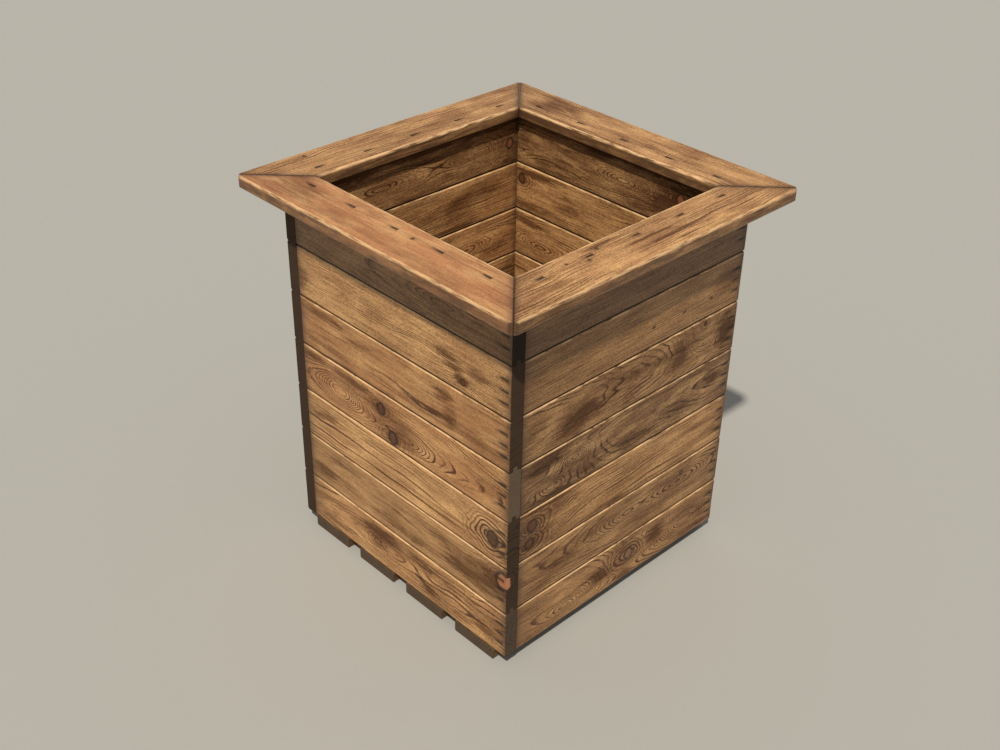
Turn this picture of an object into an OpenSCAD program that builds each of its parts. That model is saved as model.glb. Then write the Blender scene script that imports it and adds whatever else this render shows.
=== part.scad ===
// Square timber planter box. Four walls of stacked tongue-and-groove boards lap round the
// corners like a pinwheel, stand on four floor slats and carry a mitred rim. Every joint is
// stapled. Origin: middle of the footprint on the ground. +Z is up and -Y is the front.

/* [Box] */
// Width over the side walls
body_w = 500; // [450:10:800]
// Depth over the front and back walls
body_d = 500; // [450:10:800]
// Boards stacked in each wall
board_rows = 7; // [3:1:9]

/* [Wall boards] */
// Height that one board covers
board_cover = 88; // [72:1:120]
// Thickness of a wall board
board_t = 24; // [19:1:30]
// Leg of the chamfer on the long face edges, which makes the V joints
board_chamfer = 2.5; // [1:0.5:4]
// Leg of the small chamfer round the sawn ends
end_ease = 0.8; // [0.4:0.2:1.6]
// Thickness of the tongue
tongue_t = 8; // [5:0.5:9]
// Height of the tongue above the shoulders
tongue_h = 7; // [4:0.5:9]
// Gap on each cheek of the tongue and above it
tongue_gap = 0.4; // [0.2:0.1:0.8]

/* [Rim] */
// Width of a rim board
rim_w = 88; // [80:1:120]
// Thickness of a rim board
rim_t = 20; // [16:1:26]
// Overhang of the rim outside the walls
rim_overhang = 50; // [30:1:54]
// Leg of the eased long edges of a rim board
rim_ease = 2.5; // [1:0.5:4]
// Flat that cuts off each outer corner tip
rim_tip = 9; // [4:1:20]

/* [Floor] */
// Slats under the walls
slat_count = 4; // [3:1:4]
// Width of a slat
slat_w = 88; // [70:1:92]
// Thickness of a slat
slat_t = 21; // [16:1:26]
// Distance from a side wall's outer face to the nearest slat
slat_inset = 26; // [20:1:32]
// Leg of the eased long edges of a slat
slat_ease = 1.5; // [1:0.5:3]

/* [Staples] */
// Width over the crown
crown_w = 12; // [8:0.5:13]
// Thickness of the wire
wire_t = 1.4; // [1:0.1:1.6]
// Width of the wire
wire_w = 1.6; // [1:0.1:2]
// Length of the legs with the crown
leg_len = 40; // [34:1:48]
// Depth of the crown's top under the wood
staple_sink = 1; // [0.5:0.1:2]
// Clearance round the wire
staple_gap = 0.1; // [0.05:0.05:0.2]
// Staples across the end of a wall board
end_staples = 3; // [2:1:3]
// Spacing of the staples across the end of a wall board
end_pitch = 19; // [14:1:20]
// Staples along a rim board
rim_staples = 5; // [3:1:7]
// Distance from a wall's corner to the first rim staple
rim_staple_in = 60; // [54:1:90]
// Staples across each end of a slat
slat_staples = 2; // [1:1:2]
// Spacing of the staples across a slat
slat_pitch = 24; // [16:1:36]

/* [Hidden] */
WALLS = ["front", "right", "back", "left"];
QUARTER = 90;
tip_gap = 1;
cut_over = 1;
wall_base = slat_t;
wall_top = wall_base + board_rows * board_cover;
box_top = wall_top + rim_t;
slat_span = body_w - 2 * slat_inset;
slat_step = (slat_span - slat_w) / (slat_count - 1);
QUARTERS = [0:3];
ROWS = [1:board_rows];
SLATS = [1:slat_count];

function board_name(wall, row) = str(WALLS[wall], "_board_", row);
function rim_name(wall) = str(WALLS[wall], "_rim_board");
function slat_name(slat) = str("floor_slat_", slat);
function corner_staples_name(wall) = str(WALLS[wall], "_corner_staples");
function rim_staples_name(wall) = str(WALLS[wall], "_rim_staples");
function slat_staples_name(slat) = str("slat_staples_", slat);

// Walls 0 and 2 run along X, walls 1 and 3 along Y. Each wall is drawn as the front wall and turned.
function run(wall) = wall % 2 == 0 ? body_w : body_d;
function reach(wall) = (wall % 2 == 0 ? body_d : body_w) / 2;
function row_base(row) = wall_base + (row - 1) * board_cover;
function slat_x(slat) = -slat_span / 2 + slat_w / 2 + (slat - 1) * slat_step;
function spread(count, pitch) = [for (i = [0:count - 1]) (i - (count - 1) / 2) * pitch];
function rim_pitch(wall) = (run(wall) - 2 * rim_staple_in) / (rim_staples - 1);

module turn(wall) {
    rotate([0, 0, QUARTER * wall]) children();
}

// Section of a board: x is the thickness from the outer face, y is the height.
module board_section(has_tongue, has_groove) {
    mid = board_t / 2;
    groove_w = tongue_t + 2 * tongue_gap;
    difference() {
        union() {
            polygon([
                [board_chamfer, 0],
                [board_t - board_chamfer, 0],
                [board_t, board_chamfer],
                [board_t, board_cover - board_chamfer],
                [board_t - board_chamfer, board_cover],
                [board_chamfer, board_cover],
                [0, board_cover - board_chamfer],
                [0, board_chamfer]
            ]);
            if (has_tongue)
                translate([mid - tongue_t / 2, board_cover / 2])
                    square([tongue_t, board_cover / 2 + tongue_h]);
        }
        if (has_groove)
            translate([mid - groove_w / 2, -cut_over])
                square([groove_w, cut_over + tongue_h + tongue_gap]);
    }
}

// Plan of a board with its four sawn corners eased: x is the length, y is the thickness.
module board_plan(length) {
    polygon([
        [end_ease, 0],
        [length - end_ease, 0],
        [length, end_ease],
        [length, board_t - end_ease],
        [length - end_ease, board_t],
        [end_ease, board_t],
        [0, board_t - end_ease],
        [0, end_ease]
    ]);
}

// Staple with its crown along X at the origin and its legs along +Y.
module staple() {
    translate([0, 0, -wire_w / 2])
        linear_extrude(wire_w)
            difference() {
                translate([-crown_w / 2, 0]) square([crown_w, leg_len]);
                translate([wire_t - crown_w / 2, wire_t])
                    square([crown_w - 2 * wire_t, leg_len]);
            }
}

// Pocket for one staple: a slot that hides the crown, and two leg holes.
module staple_pocket() {
    hole_t = wire_t + 2 * staple_gap;
    hole_w = wire_w + 2 * staple_gap;
    slot_w = crown_w + 2 * staple_gap;
    translate([-slot_w / 2, -staple_sink - cut_over, -hole_w / 2])
        cube([slot_w, cut_over + staple_sink + wire_t, hole_w]);
    for (side = [-1, 1])
        translate([side * (crown_w - wire_t) / 2 - hole_t / 2, 0, -hole_w / 2])
            cube([hole_t, leg_len + tip_gap, hole_w]);
}

// Puts a child at each staple that laps this wall's board onto the next wall.
module at_end_staples(wall, row) {
    turn(wall)
        for (z = spread(end_staples, end_pitch))
            translate([
                run(wall) / 2 - board_t / 2,
                staple_sink - reach(wall),
                row_base(row) + board_cover / 2 + z
            ])
                children();
}

// Puts a child at each staple that holds a rim board down on its wall.
module at_rim_staples(wall) {
    turn(wall)
        for (x = spread(rim_staples, rim_pitch(wall)))
            translate([x, board_t / 2 - reach(wall), box_top - staple_sink])
                rotate([-QUARTER, 0, 0])
                    children();
}

// Puts a child at each staple that holds a slat up to the front and back walls.
module at_slat_staples(slat) {
    for (end = [-1, 1])
        for (x = spread(slat_staples, slat_pitch))
            translate([slat_x(slat) + x, end * (body_d - board_t) / 2, staple_sink])
                rotate([QUARTER, 0, 0])
                    children();
}

// One tongue-and-groove wall board, sawn square, with the pockets of every staple through it.
module wall_board(wall, row) {
    previous = (wall + 3) % 4;
    length = run(wall) - board_t;
    color("peru")
    difference() {
        turn(wall)
            translate([board_t - run(wall) / 2, -reach(wall), row_base(row)])
                intersection() {
                    rotate([QUARTER, 0, QUARTER])
                        linear_extrude(length)
                            board_section(row < board_rows, row > 1);
                    translate([0, 0, -cut_over])
                        linear_extrude(board_cover + tongue_h + 2 * cut_over)
                            board_plan(length);
                }
        at_end_staples(wall, row) staple_pocket();
        at_end_staples(previous, row) staple_pocket();
        if (row == board_rows) at_rim_staples(wall) staple_pocket();
        if (row == 1 && wall % 2 == 0)
            for (slat = SLATS)
                at_slat_staples(slat) staple_pocket();
    }
}

// One mitred rim board with eased long edges and clipped tips.
module rim_board(wall) {
    half = run(wall) / 2 + rim_overhang;
    outer = reach(wall) + rim_overhang;
    inner = half - rim_w;
    color("burlywood")
    difference() {
        turn(wall)
            translate([0, -outer, wall_top])
                intersection() {
                    linear_extrude(rim_t)
                        polygon([
                            [rim_tip - half, 0],
                            [half - rim_tip, 0],
                            [half - rim_tip / 2, rim_tip / 2],
                            [inner, rim_w],
                            [-inner, rim_w],
                            [rim_tip / 2 - half, rim_tip / 2]
                        ]);
                    translate([-half, 0, 0])
                        rotate([QUARTER, 0, QUARTER])
                            linear_extrude(2 * half)
                                eased_section(rim_w, rim_t, rim_ease);
                }
        at_rim_staples(wall) staple_pocket();
    }
}

// Rectangle with its four corners cut at 45 degrees.
module eased_section(width, height, ease) {
    polygon([
        [ease, 0],
        [width - ease, 0],
        [width, ease],
        [width, height - ease],
        [width - ease, height],
        [ease, height],
        [0, height - ease],
        [0, ease]
    ]);
}

// One floor slat, flush with the front and back walls.
module floor_slat(slat) {
    color("saddlebrown")
    difference() {
        translate([slat_x(slat) + slat_w / 2, -body_d / 2, 0])
            rotate([QUARTER, 0, 2 * QUARTER])
                linear_extrude(body_d)
                    eased_section(slat_w, slat_t, slat_ease);
        at_slat_staples(slat) staple_pocket();
    }
}

// The staples that lap one wall's boards onto the next wall.
module corner_staples(wall) {
    color("dimgray")
    for (row = ROWS)
        at_end_staples(wall, row) staple();
}

// The staples that hold one rim board down.
module rim_board_staples(wall) {
    color("dimgray")
    at_rim_staples(wall) staple();
}

// The staples that hold one slat up to the walls.
module slat_end_staples(slat) {
    color("dimgray")
    at_slat_staples(slat) staple();
}

for (wall = QUARTERS, row = ROWS)
    wall_board(wall, row);
for (wall = QUARTERS)
    rim_board(wall);
for (slat = SLATS)
    floor_slat(slat);
for (wall = QUARTERS)
    corner_staples(wall);
for (wall = QUARTERS)
    rim_board_staples(wall);
for (slat = SLATS)
    slat_end_staples(slat);
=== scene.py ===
# %% [markdown]
# # A stained pine planter box
# The box is a stack of tongue-and-groove boards on four slats, with a mitred rim on top and a
# lot of staples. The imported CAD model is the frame: it says where every board is and how big it
# is, and this lesson builds each board again as a finished piece of timber in the same place.

# %% Load the frame
import math
import random

import bmesh
import bpy
from mathutils import Matrix, Vector, noise


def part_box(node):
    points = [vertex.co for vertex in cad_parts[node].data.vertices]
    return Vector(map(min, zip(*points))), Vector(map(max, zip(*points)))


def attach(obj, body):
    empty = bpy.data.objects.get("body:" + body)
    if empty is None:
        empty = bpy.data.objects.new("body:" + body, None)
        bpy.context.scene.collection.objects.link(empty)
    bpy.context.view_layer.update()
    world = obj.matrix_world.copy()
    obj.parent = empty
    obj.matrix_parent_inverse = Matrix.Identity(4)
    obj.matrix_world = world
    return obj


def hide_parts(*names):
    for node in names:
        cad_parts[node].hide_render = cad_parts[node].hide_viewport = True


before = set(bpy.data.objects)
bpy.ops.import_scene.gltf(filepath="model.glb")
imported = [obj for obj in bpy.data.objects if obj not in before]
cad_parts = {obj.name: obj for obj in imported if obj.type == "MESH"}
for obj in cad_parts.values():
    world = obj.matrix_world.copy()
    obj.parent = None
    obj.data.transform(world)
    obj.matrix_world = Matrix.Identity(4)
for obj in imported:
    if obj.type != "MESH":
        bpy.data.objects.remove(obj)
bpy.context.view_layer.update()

# %% [markdown]
# ## Camera
# The camera comes first, because everything is judged through it. It stands a little under
# eye height, looks down at the corner where the front and right walls meet, and is turned by
# about a degree, as a hand-held camera is. The view is built from its own axes, so that the
# three angles can be read straight off.

# %% Camera
EYE = Vector((1.2774, -1.2773, 1.4735))
AZIMUTH = math.radians(45.63)
ELEVATION = math.radians(32.78)
ROLL = math.radians(1.14)
SENSOR_MM = 36.0
LENS_MM = 47.1

back = Vector((
    math.sin(AZIMUTH) * math.cos(ELEVATION),
    -math.cos(AZIMUTH) * math.cos(ELEVATION),
    math.sin(ELEVATION),
))
level = Vector((math.cos(AZIMUTH), math.sin(AZIMUTH), 0.0))
upright = back.cross(level)
right = level * math.cos(ROLL) + upright * math.sin(ROLL)
up = upright * math.cos(ROLL) - level * math.sin(ROLL)
turn = Matrix((right, up, back)).transposed().to_4x4()

camera = bpy.data.objects.new("camera", bpy.data.cameras.new("camera"))
camera.data.sensor_width = SENSOR_MM
camera.data.lens = LENS_MM
camera.matrix_world = Matrix.Translation(EYE) @ turn
bpy.context.scene.collection.objects.link(camera)
bpy.context.scene.camera = camera
print("camera", tuple(round(c, 3) for c in camera.location))

# %% [markdown]
# ## Shader maths that reads like maths
# Wood needs a lot of arithmetic: distances, ring numbers, soft steps. Wiring that by hand hides
# the idea, so `Wire` wraps an output socket and turns `a * b + c` into Math nodes, and `Net`
# holds the few other nodes that the finishes use. Node groups are built with the same two
# helpers, each with named inputs and outputs.

# %% Helpers for node trees
class Wire:
    """One value in a node tree."""

    def __init__(self, net, socket):
        self.net = net
        self.socket = socket

    def __add__(self, other):
        return self.net.math("ADD", self, other)

    def __sub__(self, other):
        return self.net.math("SUBTRACT", self, other)

    def __rsub__(self, other):
        return self.net.math("SUBTRACT", other, self)

    def __mul__(self, other):
        return self.net.math("MULTIPLY", self, other)

    def __truediv__(self, other):
        return self.net.math("DIVIDE", self, other)

    __radd__ = __add__
    __rmul__ = __mul__


class Net:
    """A node tree with short names for the nodes that the finishes use."""

    def __init__(self, tree):
        self.tree = tree

    def node(self, kind, **settings):
        made = self.tree.nodes.new(kind)
        for name, value in settings.items():
            setattr(made, name, value)
        return made

    def plug(self, socket, value):
        if isinstance(value, Wire):
            self.tree.links.new(value.socket, socket)
        else:
            socket.default_value = value

    def math(self, operation, *values, clamp=False):
        made = self.node("ShaderNodeMath", operation=operation, use_clamp=clamp)
        for socket, value in zip(made.inputs, values):
            self.plug(socket, value)
        return Wire(self, made.outputs[0])

    def vector(self, x, y, z):
        made = self.node("ShaderNodeCombineXYZ")
        for socket, value in zip(made.inputs, (x, y, z)):
            self.plug(socket, value)
        return Wire(self, made.outputs[0])

    def split(self, wire):
        made = self.node("ShaderNodeSeparateXYZ")
        self.plug(made.inputs[0], wire)
        return [Wire(self, out) for out in made.outputs]

    def noise(self, vector, detail=2.0, rough=0.5):
        made = self.node("ShaderNodeTexNoise", noise_dimensions="3D")
        self.plug(made.inputs["Vector"], vector)
        made.inputs["Scale"].default_value = 1.0
        made.inputs["Detail"].default_value = detail
        made.inputs["Roughness"].default_value = rough
        return Wire(self, made.outputs["Fac"])

    def step(self, value, low, high):
        """0 below low, 1 above high, and a soft step between them."""
        made = self.node("ShaderNodeMapRange", interpolation_type="SMOOTHSTEP")
        self.plug(made.inputs["Value"], value)
        self.plug(made.inputs["From Min"], low)
        self.plug(made.inputs["From Max"], high)
        return Wire(self, made.outputs["Result"])

    def bell(self, value, width):
        """1 where value is 0, falling softly to nothing over about twice the width."""
        ratio = value / width
        return self.math("EXPONENT", ratio * ratio * -1.0)

    def length(self, a, b):
        return self.math("SQRT", a * a + b * b)

    def most(self, a, b):
        return self.math("MAXIMUM", a, b)

    def least(self, a, b):
        return self.math("MINIMUM", a, b)

    def capped(self, a, b):
        """The sum of a and b, kept between 0 and 1."""
        return self.math("ADD", a, b, clamp=True)

    def blend(self, amount, first, second):
        """The first colour where amount is 0, and the second where it is 1."""
        made = self.node("ShaderNodeMix", data_type="RGBA")
        self.plug(made.inputs[0], amount)
        self.plug(made.inputs[6], first)
        self.plug(made.inputs[7], second)
        return Wire(self, made.outputs[2])

    def group(self, tree, **values):
        made = self.node("ShaderNodeGroup", node_tree=tree)
        for name, value in values.items():
            self.plug(made.inputs[name.replace("_", " ")], value)
        return {out.name: Wire(self, out) for out in made.outputs}


def new_group(name, inputs, outputs):
    """Start a shader node group. inputs is {label: default} and outputs is {label: how many numbers}.

    One number makes a value socket, three a vector and four a colour.
    """
    tree = bpy.data.node_groups.new(name, "ShaderNodeTree")
    kinds = {1: "NodeSocketFloat", 3: "NodeSocketVector", 4: "NodeSocketColor"}
    for label, default in inputs.items():
        count = len(default) if isinstance(default, tuple) else 1
        socket = tree.interface.new_socket(label, in_out="INPUT", socket_type=kinds[count])
        socket.default_value = default
    for label, count in outputs.items():
        tree.interface.new_socket(label, in_out="OUTPUT", socket_type=kinds[count])
    net = Net(tree)
    source = net.node("NodeGroupInput")
    sink = net.node("NodeGroupOutput")
    wires = {out.name: Wire(net, out) for out in source.outputs if out.name}
    return net, wires, sink


def finish_group(net, sink, **results):
    """Wire up the group's outputs. An underscore in a name stands for the space in its label."""
    for name, wire in results.items():
        net.plug(sink.inputs[name.replace("_", " ")], wire)
    print("group", net.tree.name, len(net.tree.nodes), "nodes")
    return net.tree


# %% [markdown]
# ## Growth rings
# A board is cut from a tree, so its figure is where the cylinder-like rings meet the sawn
# face. The group measures how far a point is from the pith of the tree, lets that distance
# wander and taper, and cuts it into rings. Flat-sawn boards have the pith behind the face and
# show pointed arches, and boards with the pith above or below show straight lines. The dark
# line at the end of each ring comes and goes along a board, and Show brings it out in full.
# All positions are in millimetres: x runs along the grain, y into the board and z across it.

# %% Growth ring group
net, given, sink = new_group(
    "growth rings",
    {
        "Position": (0.0, 0.0, 0.0), "Pith depth": 60.0, "Pith height": 44.0, "Taper": 0.03,
        "Ring width": 4.0, "Wander": 10.0, "Push": 0.0, "Shift": 0.0, "Show": 0.0, "Seed": 0.0,
    },
    {"Latewood": 1, "Zone": 1, "Fibre": 1, "Pores": 1},
)
x, y, z = net.split(given["Position"])
z = z + given["Shift"]
seed = given["Seed"]
slow = net.noise(net.vector(x / 130.0 + seed, y / 60.0, z / 45.0 + seed), detail=1.5)
quick = net.noise(net.vector(x / 55.0 + seed, y / 20.0, z / 15.0), detail=1.5)
reach = net.length(y - given["Pith depth"], z - given["Pith height"])
reach = reach - x * given["Taper"] + given["Push"]
reach = reach + (slow - 0.5) * given["Wander"] * 2.0 + (quick - 0.5) * 4.0
uneven = net.noise(net.vector(reach / 14.0, seed, 0.5), detail=0.0)
ring = reach / given["Ring width"] + uneven * 2.4
place = net.math("FRACT", ring)
strength = net.node("ShaderNodeTexWhiteNoise", noise_dimensions="1D")
net.plug(strength.inputs["W"], net.math("FLOOR", ring) + seed)
strength = Wire(net, strength.outputs["Value"])
strength = strength * 0.7 + 0.3
seen = net.noise(net.vector(x / 150.0 + seed, y / 40.0, z / 26.0), detail=1.0)
seen = net.most(net.step(seen, 0.38, 0.6) * 0.75 + 0.25, given["Show"])
late = net.step(place, 0.5, 0.86) * (1.0 - net.step(place, 0.9, 1.0)) * strength * seen
late = late * (given["Show"] * 0.5 + 1.0)
zone = net.noise(net.vector(reach / 13.0, x / 260.0 + seed, 0.5), detail=1.0)
fibre = net.noise(net.vector(x / 60.0 + seed, y / 1.4, z / 1.4), detail=3.0, rough=0.62)
pores = net.noise(net.vector(x / 9.0 + seed, y / 0.6, z / 0.6), detail=1.0)
RINGS = finish_group(
    net, sink,
    Latewood=late,
    Zone=net.step(zone, 0.42, 0.6),
    Fibre=net.step(fibre, 0.32, 0.68),
    Pores=net.step(pores, 0.62, 0.74),
)

# %% [markdown]
# ## Knots
# A knot is a branch that the trunk grew round. Seen on the face it is a round core with its
# own rings and a dark skin of bark, and the rings of the trunk part and flow past it. The
# group gives the core, the bark and a halo of stain as masks, a sideways shift that makes
# straight grain flow round it, and a push on the ring distance that closes flat-sawn figure
# into ovals. Its whorl is the few strong rings right round it, and Hold fades the board's own
# lines there. A knot is a rod through the board, or a ball where Depth is 1, which is how a
# knot looks when a corner cuts through it.

# %% Knot group
net, given, sink = new_group(
    "knot",
    {
        "Position": (0.0, 0.0, 0.0), "Along": 100.0, "Across": 44.0, "Radius": 9.0,
        "Stretch": 4.0, "Lift": 10.0, "Depth": 0.0, "Seed": 0.0,
    },
    dict.fromkeys(("Core", "Bark", "Halo", "Rings", "Shift", "Push", "Whorl", "Hold"), 1),
)
x, y, z = net.split(given["Position"])
dx = x - given["Along"]
dz = z - given["Across"]
size = given["Radius"]
rough_edge = net.noise(net.vector(x / 7.0 + given["Seed"], y / 15.0, z / 7.0), detail=2.0)
deep = y * given["Depth"]
away = net.length(net.length(dx, dz * 0.86), deep) + (rough_edge - 0.5) * size * 0.55
share = away / size
core = 1.0 - net.step(share, 0.86, 1.0)
bark = net.bell(share - 0.96, 0.24)
wide = net.length(net.length(dx / given["Stretch"], dz / 2.0), deep) / size
push = net.math("EXPONENT", wide * -0.7) * given["Lift"]
squared = net.most((dx * dx * 0.35 + dz * dz) / (size * size), 1.0)
shift = (dz / squared) * -1.0
knot_rings = net.math("SINE", away * 3.6 + rough_edge * 6.0) * 0.5 + 0.5
lazy = net.noise(net.vector(x / 34.0 + given["Seed"], y / 40.0, z / 30.0), detail=0.0)
round_it = net.length(net.length(dx * 0.62, dz), deep) + (lazy - 0.5) * size * 1.3
lap = net.math("FRACT", round_it / (size * 0.3 + 2.6) + 0.3)
whorl = net.step(lap, 0.3, 0.75) * (1.0 - net.step(lap, 0.85, 1.0)) * 1.25
nearby = net.bell(round_it / size, 2.5) * net.step(share, 1.1, 1.4)
strong = net.math("MULTIPLY", given["Lift"], 0.026, clamp=True)
KNOT = finish_group(
    net, sink,
    Whorl=whorl * nearby * strong,
    Hold=net.step(nearby, 0.15, 0.6) * strong,
    Core=core,
    Bark=bark,
    Halo=net.bell(net.length(net.length(dx * 0.45, dz), deep) / size, 1.6),
    Rings=knot_rings,
    Shift=shift,
    Push=push,
)

# %% [markdown]
# ## Smudges and staple streaks
# Stain soaks unevenly into pine: end grain, torn fibres and resinous spots go darker. A smudge
# is a soft ragged oval. Each staple crown also leaves a short dark streak, because the stain
# pools in the slot and runs a little along the grain, thinner as it goes. Staples sit in a
# row, so one group folds the whole row onto a single staple.

# %% Smudge and streak groups
# The same soft oval also paints shade: the rim's shadow along the top of the inner top boards.
net, given, sink = new_group(
    "smudge_and_shade",
    {
        "Position": (0.0, 0.0, 0.0), "Along": 100.0, "Across": 44.0,
        "Half length": 40.0, "Half width": 20.0, "Seed": 0.0,
    },
    {"Mask": 1},
)
x, y, z = net.split(given["Position"])
ragged = net.noise(net.vector(x / 44.0 + given["Seed"], y / 24.0, z / 8.0), detail=5.0, rough=0.65)
along = (x - given["Along"]) / given["Half length"]
across = (z - given["Across"]) / given["Half width"]
away = net.length(along, across)
SMUDGE_AND_SHADE = finish_group(net, sink, Mask=1.0 - net.step(away + (ragged - 0.5) * 2.2, 0.3, 1.2))

net, given, sink = new_group(
    "staple streak",
    {
        "Position": (0.0, 0.0, 0.0), "Along": 460.0, "Across": 44.0,
        "Pitch along": 1.0, "Steps along": 0.0, "Pitch across": 19.0, "Steps across": 1.0,
    },
    {"Mask": 1},
)
x, y, z = net.split(given["Position"])


def fold(distance, pitch, steps):
    """Distance to the nearest of the evenly spaced places within steps of the middle."""
    count = net.math("ROUND", distance / pitch)
    count = net.most(net.least(count, steps), steps * -1.0)
    return distance - count * pitch


u = fold(x - given["Along"], given["Pitch along"], given["Steps along"])
v = fold(z - given["Across"], given["Pitch across"], given["Steps across"])
wisp = net.noise(net.vector(x / 30.0, y, z / 6.0), detail=2.0)
tail = net.step(u, wisp * -34.0 - 4.0, -4.0) * (1.0 - net.step(u, 5.0, 8.0))
skin = 1.0 - net.step(y, 2.0, 4.0)
thick = net.most(u / 14.0 + 3.3, 1.1)
STREAK = finish_group(net, sink, Mask=tail * skin * net.bell((v + (wisp - 0.5) * 2.4) / thick, 1.0))

# %% [markdown]
# ## The stain
# One finish group turns rings, fibre, knots and wear into a colour, a roughness and a height.
# It is built in steps: the clouds of stain, the figure and the knots, the wear and the joints,
# and last the sawn ends. It starts with its inputs and with how far a point is from the ends,
# faces and long edges of the board. A mitred end slants, so its distance slants too.

# %% Stained pine: inputs and distances
RIM_TIP = 9.0
OUT_OF_REACH = 100.0

net, given, sink = new_group(
    "stained pine",
    {
        "Position": (0.0, 0.0, 0.0), "Length": 476.0, "Thickness": 24.0, "Width": 88.0,
        "Mitre": 0.0, "Joint": 1.0,
        "Latewood": 0.0, "Zone": 0.0, "Fibre": 0.5, "Pores": 0.0,
        "Core": 0.0, "Bark": 0.0, "Halo": 0.0, "Knot rings": 0.5, "Smudge": 0.0, "Streak": 0.0,
        "Early colour": (0.5, 0.3, 0.13, 1.0),
        "Glow colour": (0.95, 0.55, 0.22, 1.0),
        "Late colour": (0.14, 0.06, 0.02, 1.0),
        "Knot colour": (0.16, 0.06, 0.03, 1.0),
        "End colour": (0.03, 0.018, 0.011, 1.0),
        "Figure": 0.75, "Grain": 1.0, "Mottle": 0.5, "Glow": 0.3, "Wear": 0.6, "Seed": 0.0,
    },
    {"Colour": 4, "Roughness": 1, "Coat": 1, "Height": 1},
)
x, y, z = net.split(given["Position"])
seed = given["Seed"]
late = given["Late colour"]
near_end = net.least(x, given["Length"] - x)
from_end = near_end - given["Mitre"] * (z - RIM_TIP / 2)
from_tip = near_end + (z - RIM_TIP / 2) + (1.0 - given["Mitre"]) * OUT_OF_REACH
from_face = net.least(y, given["Thickness"] - y)
from_edge = net.least(z, given["Width"] - z)
print("finish inputs", len(given))

# %% [markdown]
# ## Uneven stain
# Soft wood takes stain unevenly. One noise looks like cloth, so several are mixed, each at its
# own scale: clouds as wide as a hand, long bands along the grain, small ragged patches, and
# the fine chatter that a planer leaves. A last one says where the wood glows amber.

# %% Stained pine: clouds of stain
cloud = net.noise(net.vector(x / 130.0 + seed, y / 60.0, z / 36.0 + seed), detail=5.0, rough=0.58)
band = net.noise(net.vector(x / 260.0 + seed, y / 12.0, z / 7.0 + seed), detail=3.0)
patch = net.noise(net.vector(x / 52.0, y / 15.0 + seed, z / 10.0), detail=5.0, rough=0.62)
chatter = net.noise(net.vector(x / 4.2, y / 2.5, z / 2.2 + seed), detail=2.0, rough=0.6)
amber = net.noise(net.vector(x / 85.0, y / 30.0, z / 24.0 - seed), detail=4.0, rough=0.6)
mottle = net.step(cloud, 0.44, 0.68) * 0.75 + net.step(band, 0.44, 0.68) * 0.25
mottle = mottle + net.step(patch, 0.46, 0.72) * 0.4
mottle = (mottle * 1.25 + given["Zone"] * 0.35) * given["Mottle"]
print("nodes with the clouds", len(net.tree.nodes))

# %% [markdown]
# ## Figure and knots
# Late wood is dark and hard, early wood light and amber. Thin latewood lines lie over the fine
# fibre, then the stain that soaked in together with any painted shade, then the knots: a ringed
# core in a skin of bark.

# %% Stained pine: figure and knots
PORE = (0.06, 0.026, 0.01, 1.0)
KNOT_RING = (0.03, 0.013, 0.007, 1.0)
BARK_BLACK = (0.016, 0.008, 0.005, 1.0)

lines = given["Latewood"] * given["Figure"]
grain = (given["Fibre"] - 0.5) * 0.42 + (net.step(chatter, 0.35, 0.65) - 0.5) * 0.34
grain = grain * given["Grain"]
figure = net.capped(lines + grain, 0.0)
pale = net.math("MULTIPLY", grain, -1.0, clamp=True)
glow = net.step(amber, 0.42, 0.62) * given["Glow"]
glow = net.capped(glow, pale * 0.8)
wood = net.blend(glow, given["Early colour"], given["Glow colour"])
wood = net.blend(figure, wood, late)
# Smudges darken like soaked-in stain; where a smudge stands for the rim's shadow, this is painted shade.
soaked_and_shaded = net.capped(mottle + given["Smudge"] * 0.9, given["Halo"] * 0.4 + grain * 0.5)
wood = net.blend(soaked_and_shaded * 0.88, wood, late)
wood = net.blend(given["Pores"] * 0.35, wood, PORE)
knot_wood = net.blend(given["Knot rings"] * 0.55, given["Knot colour"], KNOT_RING)
wood = net.blend(given["Core"] * 0.9, wood, knot_wood)
wood = net.blend(given["Bark"] * 0.85, wood, BARK_BLACK)
print("nodes with the knots", len(net.tree.nodes))

# %% [markdown]
# ## Wear, joints and painted light
# A hand or a sander rubs the stain thin on the long arrises, and hardly at all on the underside
# of a piece that lies flat. The arrises on the upper half of the width, a wall board's top arris,
# are lightened more as a painted highlight, where light from above would catch them. The stain
# pools black at the bottom of the V joints, and the lowest few millimetres of each board above a
# joint are darkened as painted shade. Pieces without joints have narrow edge faces instead, which
# drank more stain than their tops.

# %% Stained pine: wear, joints, painted highlight and shade
# The colour of rubbed stain, also used as a painted highlight on the arrises.
RUBBED_AND_LIT_WOOD = (1.0, 0.62, 0.3, 1.0)
EDGE_WOOD = (0.125, 0.062, 0.028, 1.0)
JOINT_BLACK = (0.012, 0.007, 0.004, 1.0)

corner = from_face + from_edge
shown = net.most(net.step(from_edge, 0.6, 1.6), 1.0 - given["Joint"])
rub = net.noise(net.vector(x / 26.0 + seed, y / 3.0, z / 3.0), detail=4.0, rough=0.6)
# Painted highlight: arrises on the upper half of the width, a wall board's top arris, lighten more, as
# if lit from above.
upper_half_highlight = net.step(z, given["Width"] * 0.4, given["Width"] * 0.6) * 0.6 + 0.75
underside = net.step(y / given["Thickness"], 0.5, 0.8) * (1.0 - given["Joint"])
wear_and_highlight = (1.0 - net.step(corner, 2.7, 4.6)) * shown * net.step(rub, 0.34, 0.6) * given["Wear"] * upper_half_highlight
wear_and_highlight = wear_and_highlight * (1.0 - underside * 0.85)
narrow = (1.0 - net.step(from_edge, 1.2, 3.2)) * (1.0 - given["Joint"])
wood = net.blend(narrow * (net.step(patch, 0.4, 0.62) * 0.4 + 0.5), wood, EDGE_WOOD)
wood = net.blend(wear_and_highlight, wood, RUBBED_AND_LIT_WOOD)
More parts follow.
